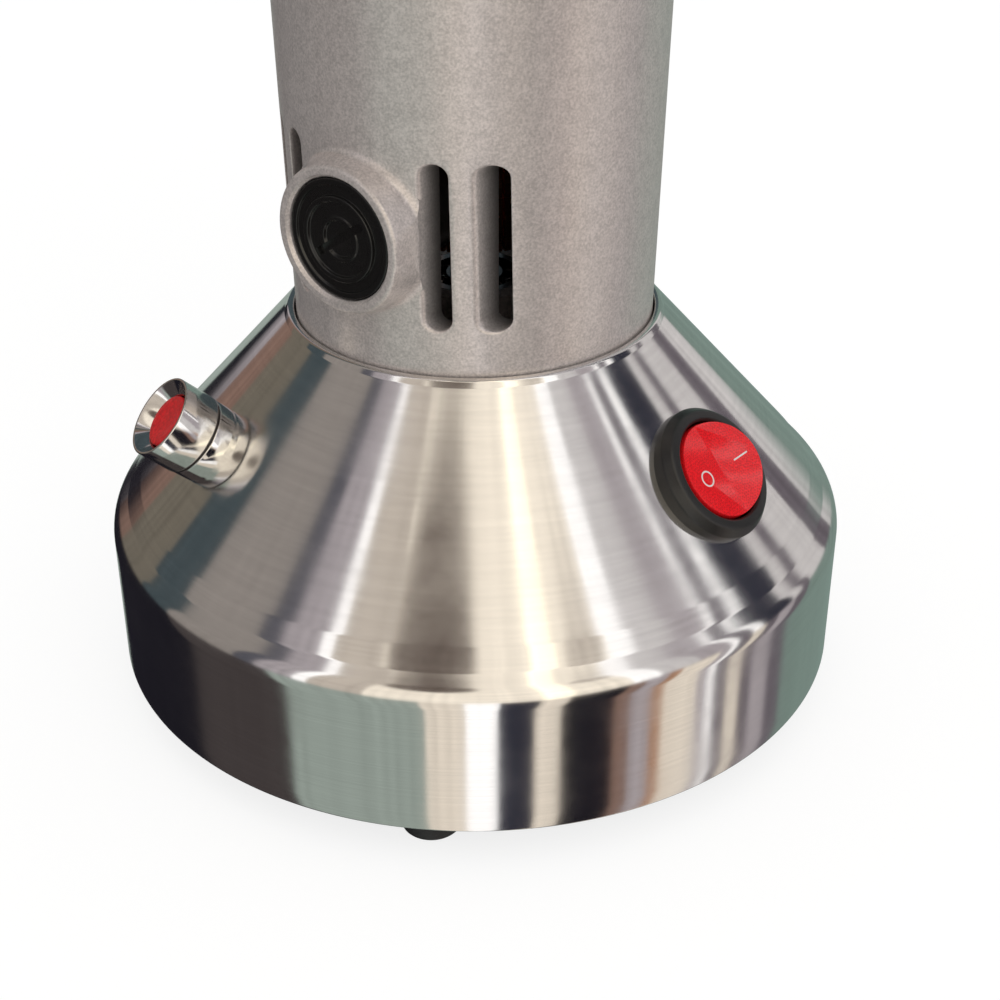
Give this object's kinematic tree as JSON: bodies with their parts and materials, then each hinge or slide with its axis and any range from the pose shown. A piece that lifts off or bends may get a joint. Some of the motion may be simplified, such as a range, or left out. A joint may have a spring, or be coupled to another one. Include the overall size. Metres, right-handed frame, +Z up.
{
  "type": "nut butter grinder",
  "caption": "Upright nut butter grinder: spun steel cone base with rocker switch and reset button, motor housing, disc mill with adjusting ring and spout, hopper with lid.",
  "frame": {"origin": "on the machine's upright axis, on the plane of the feet's undersides", "axes": "+Z up the machine's axis, -Y to the front with the spout, +X to the side with the switch"},
  "size_m": [0.16, 0.184, 0.379],
  "materials": {
    "spun_steel": "spun and polished, fine rings",
    "hopper_steel": "spun, satin",
    "cast_aluminium": "sprayed casting, fine speckle",
    "head_steel": "turned and polished",
    "frame_casting": "raw casting",
    "bottom_paint": "black powder coat",
    "black_plastic": "satin black moulding",
    "case_plastic": "matt black moulding",
    "rocker_red": "clear red moulding with stippled underside",
    "button_red": "gloss red moulding",
    "chrome": "bright nickel",
    "rubber": "moulded rubber",
    "seal_rubber": "food grade silicone",
    "screw_steel": "plated",
    "bearing_steel": "ground",
    "disc_steel": "hardened, ground",
    "laminations": "stacked sheets",
    "enamelled_copper": "enamelled wire",
    "copper": "turned copper",
    "brass": "stamped",
    "carbon": "pressed carbon",
    "wire_insulation": "soft insulation"
  },
  "bodies": {
    "stand": {"base_shell": "spun_steel", "bearing_balls": "bearing_steel", "bearing_outer_rings": "bearing_steel", "bottom_plate": "bottom_paint", "brush_caps": "black_plastic", "brush_holders": "case_plastic", "brush_springs": "bearing_steel", "carbon_brushes": "carbon", "cord_gland": "black_plastic", "discharge_spout": "head_steel", "field_coils": "enamelled_copper", "foot_screws": "screw_steel", "frame_screws": "screw_steel", "gland_nut": "black_plastic", "grinding_chamber": "head_steel", "guide_pins": "screw_steel", "head_screws": "screw_steel", "inner_wires": "wire_insulation", "lower_bearing_bracket": "frame_casting", "motor_housing": "cast_aluminium", "protector_cap": "chrome", "protector_case": "case_plastic", "protector_nut": "chrome", "reset_spring": "bearing_steel", "rubber_feet": "rubber", "shaft_seal": "seal_rubber", "spade_terminals": "brass", "spout_gasket": "rubber", "spout_screws": "screw_steel", "stator_core": "laminations", "support_frame": "frame_casting", "switch_body": "black_plastic", "terminal_block": "case_plastic", "upper_bearing_plate": "frame_casting"},
    "rotor": {"rotor_shaft": "bearing_steel", "armature_core": "laminations", "armature_windings": "enamelled_copper", "commutator": "copper", "cooling_fan": "case_plastic", "bearing_inner_rings": "bearing_steel", "disc_carrier": "disc_steel", "rotating_disc": "disc_steel", "rotating_disc_screws": "screw_steel", "feed_screw": "disc_steel", "lock_nut": "screw_steel"},
    "rocker": {"switch_rocker": "rocker_red"},
    "reset": {"reset_button": "button_red"},
    "holder": {"disc_holder": "head_steel", "fixed_disc": "disc_steel", "fixed_disc_screws": "screw_steel", "holder_circlip": "screw_steel", "hopper": "hopper_steel", "hopper_seal": "seal_rubber", "hopper_screws": "screw_steel"},
    "ring": {"adjusting_ring": "head_steel", "handle_rods": "chrome", "handle_grips": "black_plastic"},
    "lid": {"hopper_lid": "hopper_steel", "lid_knob": "black_plastic", "lid_screw": "screw_steel"}
  },
  "joints": [
    {"name": "rotor_spin", "type": "hinge", "parent": "stand", "child": "rotor", "pos_m": [0, 0, 0.1122], "axis": [0, 0, 1], "continuous": true},
    {"name": "adjust_lift", "type": "slide", "parent": "stand", "child": "holder", "axis": [0, 0, 1], "range_m": [0, 0.00125]},
    {"name": "adjust_turn", "type": "hinge", "parent": "holder", "child": "ring", "pos_m": [0, 0, 0.262], "axis": [0, 0, 1], "range_deg": [0, 299]},
    {"name": "lid_lift", "type": "slide", "parent": "holder", "child": "lid", "axis": [0, 0, 1], "range_m": [0, 0.06]},
    {"name": "switch_rock", "type": "hinge", "parent": "stand", "child": "rocker", "pos_m": [0.05209, -0.03007, 0.06356], "axis": [-0.5778, 0.3336, 0.7449], "range_deg": [0, 20]},
    {"name": "reset_press", "type": "slide", "parent": "stand", "child": "reset", "axis": [0.6451, 0.3724, -0.6672], "range_m": [0, 0.0016], "stiffness_N_per_m": 400, "deforming": ["reset_spring"]}
  ],
  "couplings": [
    {"joint": "adjust_lift", "follows": "adjust_turn", "m_per_rad": 0.00023873}
  ]
}
